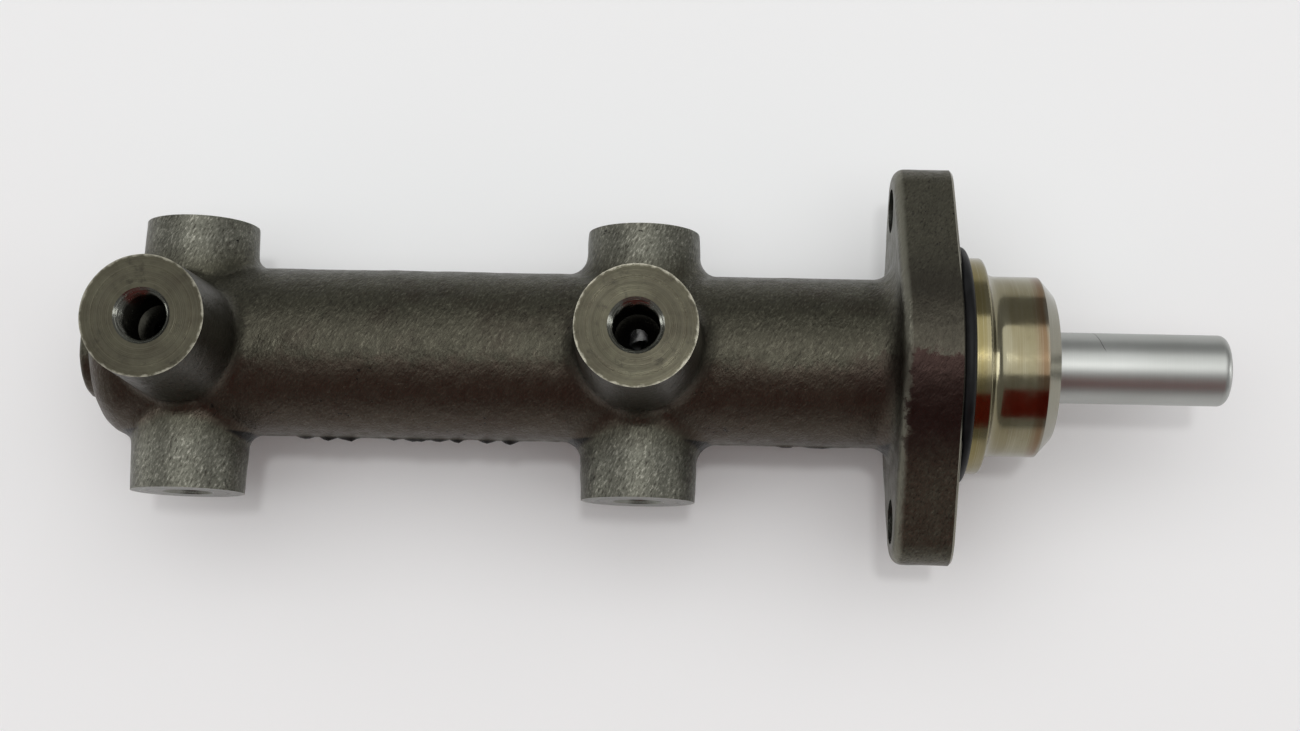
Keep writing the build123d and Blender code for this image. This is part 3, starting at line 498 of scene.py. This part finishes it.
def bare_casting():
    """Sand-cast iron: dark olive grey with a grain that glints, sooty patches, and painted reflections of the
    red cloth on the barrel's near side: a reddish tint and dark maroon patches.
    The bosses are paler than the barrel."""
    f = Finish("sand_cast_iron")
    flecks = f.drawn_out((2.6, 1.0, 1.5), (0, 0, math.radians(62)))
    fine = f.noise(2400.0, 3.0, 0.62, vector=flecks)
    coarse = f.noise(520.0, 3.0, 0.55, vector=f.drawn_out((1.7, 1.0, 1.3), (0, 0, math.radians(62))))
    broad = f.noise(42.0, 4.0, 0.6)
    stain = f.noise(95.0, 5.0, 0.65)
    parts = f.add("ShaderNodeSeparateXYZ", i0=f.place).outputs
    x, y, z = parts[0], parts[1], parts[2]
    from_bore = f.sum("SQRT", f.sum("ADD", f.sum("MULTIPLY", y, y), f.sum("MULTIPLY", z, z)))
    boss = f.sum("MULTIPLY", f.spread(from_bore, 18.5 * MM, 23.5 * MM), f.spread(x, -13 * MM, -30 * MM))
    boss = f.sum("MULTIPLY", boss, f.spread(z, 21 * MM, 13 * MM))
    tower_shade = f.spread(z, 15 * MM, 20 * MM)
    flange = f.spread(x, -16 * MM, -11 * MM)
    ragged_offset = f.sum("MULTIPLY", f.sum("SUBTRACT", f.noise(240.0, 5.0, 0.72), 0.5), 9 * MM)
    y_ragged, x_ragged = f.sum("ADD", y, ragged_offset), f.sum("ADD", x, ragged_offset)
    # Painted reflection: ragged dark maroon patches on the flange's rim and the barrel's near upper side,
    # facing the red cloth.
    on_flange = f.sum("MULTIPLY", f.spread(x_ragged, -10.9 * MM, -10.1 * MM),
                      f.spread(y_ragged, -25 * MM, -15 * MM))
    on_barrel = f.sum("MULTIPLY", f.spread(x_ragged, -22.5 * MM, -20.0 * MM, 0, 0.45),
                      f.spread(y_ragged, -10.5 * MM, -8.0 * MM))
    red_reflection_patch = f.sum("MULTIPLY", f.spread(y_ragged, -0.6 * MM, -1.4 * MM), f.sum("MAXIMUM", on_flange, on_barrel))
    red_reflection_patch = f.sum("MULTIPLY", red_reflection_patch, f.spread(z, 4 * MM, 8 * MM, 0, 0.9))
    pit = f.sum("MULTIPLY", f.spread(f.noise(760.0, 2.0, 0.5), 0.68, 0.71),
                f.spread(f.noise(48.0, 2.0, 0.5), 0.55, 0.66))
    from_edge = f.sum("ADD", f.sum("ADD", x, f.sum("MULTIPLY", ragged_offset, 0.12)), 11.1 * MM)
    worn = f.spread(f.sum("ABSOLUTE", from_edge), 1.0 * MM, 0.35 * MM)
    flash = f.sum("MULTIPLY", f.spread(y, -16.9 * MM, -17.25 * MM),
                  f.spread(from_bore, 17.22 * MM, 17.45 * MM))
    flash = f.sum("MULTIPLY", flash, f.spread(from_bore, 19.2 * MM, 18.5 * MM))
    body = f.blend(f.spread(broad, 0.35, 0.68), (0.052, 0.050, 0.035, 1), (0.068, 0.065, 0.046, 1))
    body = f.blend(f.spread(stain, 0.50, 0.72), body, (0.043, 0.036, 0.026, 1))
    body = f.blend(f.sum("MULTIPLY", boss, 0.85), body, (0.118, 0.118, 0.096, 1))
    body = f.blend(f.sum("MULTIPLY", flange, 0.60), body, (0.094, 0.089, 0.066, 1))
    light = f.blend(boss, (0.120, 0.115, 0.085, 1), (0.29, 0.285, 0.24, 1))
    body = f.blend(f.spread(fine, 0.54, 0.74), body, light)
    body = f.blend(f.spread(fine, 0.46, 0.30, 0, 0.8), body, (0.024, 0.021, 0.016, 1))
    # Painted reflection: the near upper quarter of the barrel, which faces the red cloth, is given a reddish
    # tint.
    red_reflection_tint = f.spread(f.sum("ADD", y, ragged_offset), -2.5 * MM, -5.0 * MM, 0, 0.55)
    red_reflection_tint = f.sum("MULTIPLY", red_reflection_tint, f.spread(from_bore, 19.5 * MM, 18.0 * MM))
    body = f.blend(f.sum("MULTIPLY", red_reflection_tint, f.spread(z, -4 * MM, 4 * MM)), body, (0.060, 0.040, 0.030, 1))
    # Painted shade: cast surfaces more than 15 to 20 mm above the bore's axis, chiefly the upper port towers'
    # walls, are darkened.
    body = f.blend(f.sum("MULTIPLY", tower_shade, 0.6), body, (0.032, 0.027, 0.021, 1))
    body = f.blend(f.sum("MULTIPLY", worn, 0.6), body, (0.22, 0.215, 0.17, 1))
    # Painted reflection of the red cloth, laid on as maroon patches.
    body = f.blend(red_reflection_patch, body, (0.026, 0.0125, 0.0105, 1))
    body = f.blend(f.sum("MAXIMUM", pit, flash), body, (0.010, 0.009, 0.008, 1))
    tall = f.relief(broad, 0.30 * MM, 0.5)
    grain = f.relief(coarse, 0.26 * MM, 0.9, over=tall)
    sand = f.relief(fine, 0.13 * MM, 1.0, over=grain)
    holes = f.relief(pit, -0.30 * MM, 1.0, over=sand)
    f.shade(Base_Color=body, Metallic=0.85, Roughness=f.spread(coarse, 0.3, 0.7, 0.34, 0.46), Normal=holes)
    return f.material


def turned_faces():
    """Iron faced in the lathe: lighter olive grey, fine rings round each port's centre, a bright worn rim."""
    f = Finish("faced_iron")
    centre = f.add("ShaderNodeAttribute", {"attribute_name": "turning_centre"}).outputs["Vector"]
    rim = f.add("ShaderNodeAttribute", {"attribute_name": "turning_rim"}).outputs["Fac"]
    away = f.add("ShaderNodeVectorMath", {"operation": "DISTANCE"}, i0=f.place, i1=centre).outputs["Value"]
    ragged = f.sum("MULTIPLY", f.sum("SUBTRACT", f.noise(620.0, 4.0, 0.65), 0.5), 1.7 * MM)
    edge = f.sum("ADD", f.sum("SUBTRACT", away, rim), ragged)
    rings = f.add("ShaderNodeCombineXYZ", i0=away).outputs[0]
    marks = f.noise(3600.0, 4.0, 0.65, vector=rings)
    broad_marks = f.noise(700.0, 2.0, 0.5, vector=rings)
    cloud = f.noise(190.0, 5.0, 0.68)
    body = f.blend(f.spread(cloud, 0.35, 0.68), (0.056, 0.053, 0.035, 1), (0.033, 0.029, 0.019, 1))
    body = f.blend(f.spread(marks, 0.45, 0.75, 0, 0.55), body, (0.100, 0.096, 0.073, 1))
    body = f.blend(f.spread(broad_marks, 0.40, 0.65, 0, 0.45), body, (0.045, 0.042, 0.030, 1))
    body = f.blend(f.spread(f.noise(420.0, 5.0, 0.7), 0.56, 0.70, 0, 0.8), body, (0.024, 0.022, 0.016, 1))
    body = f.blend(f.spread(edge, -0.45 * MM, -0.05 * MM, 0, 0.8), body, (0.24, 0.23, 0.185, 1))
    tooled = f.relief(marks, 0.055 * MM, 1.0)
    f.shade(Base_Color=body, Metallic=0.9,
            Normal=f.relief(f.noise(1500.0, 3.0, 0.6), 0.03 * MM, 0.6, over=tooled),
            Roughness=f.spread(broad_marks, 0.3, 0.7, 0.24, 0.36))
    return f.material


def drilled_iron():
    """Holes and bores: cut iron, bright at the chamfer and painted dark further down the hole, as shade."""
    f = Finish("drilled_iron")
    centre = f.add("ShaderNodeAttribute", {"attribute_name": "turning_centre"}).outputs["Vector"]
    rim = f.add("ShaderNodeAttribute", {"attribute_name": "turning_rim"}).outputs["Fac"]
    deep = f.add("ShaderNodeVectorMath", {"operation": "DISTANCE"}, i0=f.place, i1=centre).outputs["Value"]
    # Painted shade: a port's or inlet's hole darkens beyond about 5.5 mm from the centre of its mouth, down
    # the hole.
    deep_hole_shade = f.sum("MULTIPLY", f.spread(deep, 5.45 * MM, 5.9 * MM), f.spread(rim, 11.9 * MM, 11.7 * MM))
    rings = f.noise(2600.0, 3.0, 0.6)
    cloud = f.noise(260.0, 3.0, 0.6)
    body = f.blend(f.spread(cloud, 0.35, 0.7), (0.21, 0.215, 0.19, 1), (0.13, 0.13, 0.11, 1))
    body = f.blend(deep_hole_shade, body, (0.030, 0.029, 0.023, 1))
    f.shade(Base_Color=body, Metallic=0.92, Roughness=f.spread(rings, 0.3, 0.7, 0.16, 0.28),
            Normal=f.relief(rings, 0.02 * MM, 0.6))
    return f.material


for finish in (bare_casting(), turned_faces(), drilled_iron()):
    casting.data.materials.append(finish)
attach(casting, "cylinder")
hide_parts("cylinder_body")


# ---------------------------------------------------------------- Port threads
# Each port is tapped for a brake pipe's union nut: a fine right-hand thread of 1 mm pitch, cut in the
# casting itself. The chamfer at the mouth trims its first turn.

PITCH = 1.0 * MM
THREAD_DEPTHS = (14.0 * MM, 10.5 * MM, 10.5 * MM)


def tapped_wall(name, station, axis, face_height, depth, around=48, fineness=0.11 * MM):
    """The tapped wall as a closed ring about the port's axis. Its inner radius is the core plus the
    thread's height times a trapezoid wave of depth less one pitch a turn, and never less than the
    chamfer's cone; its outer radius is the hole's plain wall."""
    start, end = THREADS_START, depth - 0.15 * MM
    down = np.linspace(start, end, int((end - start) / fineness))
    turn = np.linspace(0, 2 * np.pi, around, endpoint=False)
    phase = (down[:, None] / PITCH - turn[None, :] / (2 * np.pi)) % 1.0
    wave = np.clip((1 - np.abs(2 * phase - 1) - 0.12) / 0.72, 0, 1)
    inner = THREAD_CORE + (THREAD_WALL - 0.03 * MM - THREAD_CORE) * wave
    inner = np.maximum(inner, np.minimum(MOUTH_RADIUS - down[:, None], THREAD_WALL))
    rows = np.concatenate([down, [end, start]])
    radius = np.vstack([inner, np.full((2, around), THREAD_WALL + 0.02 * MM)])
    axis = np.array(axis, float)
    across = np.array((1.0, 0, 0))
    beside = np.cross(axis, across)
    ring = np.cos(turn)[:, None] * across + np.sin(turn)[:, None] * beside
    places = (station, 0, 0) + (face_height - rows)[:, None, None] * axis + radius[:, :, None] * ring
    i, j = np.meshgrid(np.arange(len(rows)), np.arange(around), indexing="ij")
    k, l = (i + 1) % len(rows), (j + 1) % around
    quads = np.stack([i * around + j, k * around + j, k * around + l, i * around + l], -1).reshape(-1, 4)
    wall = mesh_from(name, places.reshape(-1, 3), quads)
    wall.data.set_sharp_from_angle(angle=math.radians(50))
    mouth_centre = (station, 0, 0) + face_height * axis
    note_turning(wall, np.tile(mouth_centre, (len(quads), 1)), np.full(len(quads), 11.4 * MM))
    return wall


for station, place in zip(STATIONS, ("rear", "front")):
    for port, depth, side in zip(PORT_FACES, THREAD_DEPTHS, ("upper", "right", "left")):
        thread = tapped_wall(f"{place}_{side}_thread", station, port[0], port[1], depth)
        thread.data.materials.append(casting.data.materials[DRILLED])
        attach(thread, "cylinder")


# ---------------------------------------------------------------- Guide sleeve
# A turned steel cap over the casting's spigot that centres the cylinder in the brake servo.
# It is plated and passivated: bright steel under a yellow-brown film, with fine turning lines.

def dress(names, material):
    """Gives the CAD nodes that finish in place of their plain one."""
    for name in names:
        mesh = nodes[name].data
        mesh.materials.clear()
        mesh.materials.append(material)


def passivated_steel():
    """Plated steel: the film's colour drifts from straw to olive and brown round and along the sleeve."""
    f = Finish("passivated_steel")
    lines = f.noise(1.0, 4.0, 0.6, vector=f.stretched((5200, 22, 22)))
    drift = f.noise(1.0, 3.0, 0.6, vector=f.stretched((160, 34, 34)))
    patches = f.noise(260.0, 5.0, 0.68)
    x_place = f.add("ShaderNodeSeparateXYZ", i0=f.place).outputs[0]
    band = f.sum("ADD", x_place, f.sum("MULTIPLY", f.sum("SUBTRACT", drift, 0.5), 2.5 * MM))
    body = f.blend(f.spread(drift, 0.38, 0.64), (0.265, 0.248, 0.172, 1), (0.205, 0.182, 0.110, 1))
    body = f.blend(f.spread(band, 14.2 * MM, 15.8 * MM), body, (0.175, 0.120, 0.070, 1))
    body = f.blend(f.spread(band, 16.4 * MM, 17.2 * MM), body, (0.26, 0.25, 0.20, 1))
    body = f.blend(f.spread(band, 5.6 * MM, 3.6 * MM, 0, 0.8), body, (0.20, 0.165, 0.065, 1))
    body = f.blend(f.spread(patches, 0.62, 0.74, 0, 0.5), body, (0.125, 0.10, 0.06, 1))
    body = f.blend(f.spread(lines, 0.55, 0.8, 0, 0.35), body, (0.50, 0.485, 0.42, 1))
    f.shade(Base_Color=body, Metallic=1.0, Roughness=f.spread(patches, 0.3, 0.7, 0.12, 0.25),
            Normal=f.relief(lines, 0.012 * MM, 0.7))
    return f.material


dress(["guide_sleeve"], passivated_steel())


# ---------------------------------------------------------------- Rubber rings, seals and grommets
# Moulded black rubber: the O-ring at the mounting face, the rod's seals, the cups on both pistons and
# the grommets in the inlets. All are pushed into place and held by their own spring.

def black_rubber():
    """Moulded rubber: near black with a faint bloom, softly dulled where it has been handled."""
    f = Finish("black_rubber")
    grain = f.noise(2400.0, 3.0, 0.6)
    bloom = f.noise(140.0, 3.0, 0.6)
    body = f.blend(f.spread(bloom, 0.4, 0.7), (0.005, 0.005, 0.0055, 1), (0.011, 0.0115, 0.012, 1))
    f.shade(Base_Color=body, Roughness=f.spread(bloom, 0.35, 0.7, 0.34, 0.50), Specular_IOR_Level=0.12,
            Normal=f.relief(grain, 0.02 * MM, 0.6))
    return f.material


dress(["mounting_o_ring", "rod_seal", "vacuum_seal", "inlet_grommet_rear", "inlet_grommet_front",
       "primary_cup", "secondary_cup", "separating_cup_rear", "separating_cup_front"], black_rubber())


# ---------------------------------------------------------------- Pistons
# Both pistons are turned from aluminium bar; the rear one carries its rod in one piece.
# The rod is finely turned and anodised: a satin, pale grey with almost invisible rings.

def satin_aluminium():
    """Turned aluminium: pale satin grey, fine rings along its axis and one thin scratch."""
    f = Finish("satin_aluminium")
    rings = f.noise(1.0, 3.0, 0.6, vector=f.stretched((6500, 14, 14)))
    soft = f.noise(1.0, 3.0, 0.6, vector=f.stretched((40, 90, 90)))
    body = f.blend(f.spread(soft, 0.35, 0.7), (0.425, 0.437, 0.42, 1), (0.38, 0.39, 0.372, 1))
    body = f.blend(f.spread(rings, 0.5, 0.8, 0, 0.25), body, (0.60, 0.60, 0.58, 1))
    parts = f.add("ShaderNodeSeparateXYZ", i0=f.place).outputs
    line = f.sum("ADD", f.sum("MULTIPLY", parts[1], 0.33), parts[0])
    wavy = f.sum("ADD", line, f.sum("MULTIPLY", f.noise(300.0), 0.5 * MM))
    hair = f.sum("ABSOLUTE", f.sum("SUBTRACT", wavy, 31.2 * MM))
    scratch = f.sum("MULTIPLY", f.spread(hair, 0.11 * MM, 0.05 * MM, 0, 0.75),
                    f.spread(parts[1], 2.2 * MM, 3.0 * MM))
    body = f.blend(scratch, body, (0.09, 0.085, 0.08, 1))
    f.shade(Base_Color=body, Metallic=0.95, Roughness=f.spread(rings, 0.3, 0.7, 0.36, 0.44),
            Normal=f.relief(rings, 0.008 * MM, 0.6))
    return f.material


dress(["primary_piston", "secondary_piston"], satin_aluminium())


# ---------------------------------------------------------------- Rings round the rod
# Steel stop plate, nylon guide bush and the snap ring that holds the stack in the spigot.
# The bush is turned nylon; the plate is stamped and the ring is cut from spring steel.

def cream_nylon():
    """Turned nylon: off-white, faintly waxy, with light tool rings."""
    f = Finish("cream_nylon")
    rings = f.noise(1.0, 3.0, 0.6, vector=f.stretched((3800, 30, 30)))
    stain = f.noise(180.0, 3.0, 0.6)
    body = f.blend(f.spread(stain, 0.35, 0.7), (0.62, 0.58, 0.47, 1), (0.55, 0.50, 0.39, 1))
    f.shade(Base_Color=body, Roughness=f.spread(rings, 0.3, 0.7, 0.34, 0.46),
            Normal=f.relief(rings, 0.015 * MM, 0.5))
    return f.material


def bright_steel(name, tint, low, high):
    """Bare or plated steel with a fine grain; low and high bound its roughness."""
    f = Finish(name)
    grain = f.noise(1900.0, 3.0, 0.6)
    cloud = f.noise(170.0, 3.0, 0.6)
    darker = tuple(0.72 * c for c in tint[:3]) + (1,)
    f.shade(Base_Color=f.blend(f.spread(cloud, 0.35, 0.7), tint, darker), Metallic=1.0,
            Roughness=f.spread(cloud, 0.3, 0.7, low, high), Normal=f.relief(grain, 0.012 * MM, 0.5))
    return f.material


plated = bright_steel("zinc_plated_steel", (0.56, 0.56, 0.55, 1), 0.24, 0.38)
sprung = bright_steel("oiled_spring_steel", (0.26, 0.255, 0.25, 1), 0.20, 0.34)
dress(["rod_guide_bush", "primary_support_ring", "secondary_support_ring"], cream_nylon())
dress(["snap_ring"], sprung)
dress(["stop_plate", "primary_cup_washer", "secondary_cup_washer", "primary_spring_seat",
       "secondary_spring_seat", "spring_retainer", "stroke_screw", "stop_screw"], plated)


# ---------------------------------------------------------------- Copper washer
# A soft copper ring under the stop screw's head; it is crushed once to keep the fluid in.

def soft_copper():
    """Annealed copper: warm, slightly browned in clouds."""
    f = Finish("annealed_copper")
    cloud = f.noise(420.0, 4.0, 0.6)
    f.shade(Base_Color=f.blend(f.spread(cloud, 0.35, 0.7), (0.72, 0.36, 0.22, 1), (0.38, 0.17, 0.10, 1)),
            Metallic=1.0, Roughness=f.spread(cloud, 0.3, 0.7, 0.26, 0.42),
            Normal=f.relief(cloud, 0.01 * MM, 0.5))
    return f.material


dress(["stop_screw_washer"], soft_copper())


# ---------------------------------------------------------------- Springs
# Two compression springs of oiled steel wire, one in front of each piston. Their last turn at each
# end is closed up and lies flat on its seat.

SPRING_RADIUS = 8.1 * MM         # of the wire's middle
SMOOTH_SHARE = 0.25
WIRE_SLACK = 0.99                # keeps touching turns apart by a hair


def coiled_wire(name, rear, front, mean_radius, wire, coils, turn_steps=30, ring_steps=10):
    """A round wire carried along a helix about X from rear to front. The helix climbs by the wire's own
    thickness over its first and last turn, and between them by an even climb with a quarter of a smooth
    step mixed in; the wire's ends are closed with caps."""
    turns = np.linspace(0, coils, int(coils * turn_steps) + 1)
    free = (rear - front - wire) - wire * 2.0
    middle = np.clip((turns - 1) / (coils - 2), 0, 1)
    eased = middle * middle * (3 - 2 * middle) * SMOOTH_SHARE + middle * (1 - SMOOTH_SHARE)
    lift = np.clip(turns, 0, 1) * wire + eased * free + np.clip(turns - coils + 1, 0, 1) * wire
    line = np.stack([front + wire / 2 + lift, mean_radius * np.sin(turns * 2 * np.pi),
                     mean_radius * np.cos(turns * 2 * np.pi)], 1)
    ahead = np.gradient(line, axis=0)
    ahead /= np.linalg.norm(ahead, axis=1)[:, None]
    outward = np.stack([0 * turns, np.sin(turns * 2 * np.pi), np.cos(turns * 2 * np.pi)], 1)
    outward -= np.sum(outward * ahead, 1)[:, None] * ahead
    outward /= np.linalg.norm(outward, axis=1)[:, None]
    side = np.cross(ahead, outward)
    round_angle = np.arange(ring_steps) * 2 * np.pi / ring_steps
    rings = line[:, None] + WIRE_SLACK * wire / 2 * (np.cos(round_angle)[None, :, None] * outward[:, None]
                                                     + np.sin(round_angle)[None, :, None] * side[:, None])
    count = len(turns)
    points = np.vstack([rings.reshape(-1, 3), line[[0, -1]]])
    i, j = np.meshgrid(np.arange(count - 1), np.arange(ring_steps), indexing="ij")
    a, b = (i * ring_steps + j).ravel(), (i * ring_steps + (j + 1) % ring_steps).ravel()
    walls = np.vstack([np.stack([a, b, b + ring_steps], 1), np.stack([a, b + ring_steps, a + ring_steps], 1)])
    k = np.arange(ring_steps)
    start = np.stack([np.full(ring_steps, count * ring_steps), (k + 1) % ring_steps, k], 1)
    last = (count - 1) * ring_steps
    end = np.stack([np.full(ring_steps, count * ring_steps + 1), last + k, last + (k + 1) % ring_steps], 1)
    spring = mesh_from(name, points, np.vstack([walls, start, end]))
    spring.data.set_sharp_from_angle(angle=math.radians(50))
    spring.data.materials.append(sprung)
    return spring


for name, body, node, wire, coils in (
        ("primary_coil", "secondary", "primary_spring", 2.0 * MM, 8.0),
        ("secondary_coil", "cylinder", "secondary_spring", 1.7 * MM, 5.5)):
    low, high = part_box(node)
    spring = coiled_wire(name, high.x, low.x, SPRING_RADIUS, wire, coils)
    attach(spring, body)
    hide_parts(node)
    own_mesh(spring)
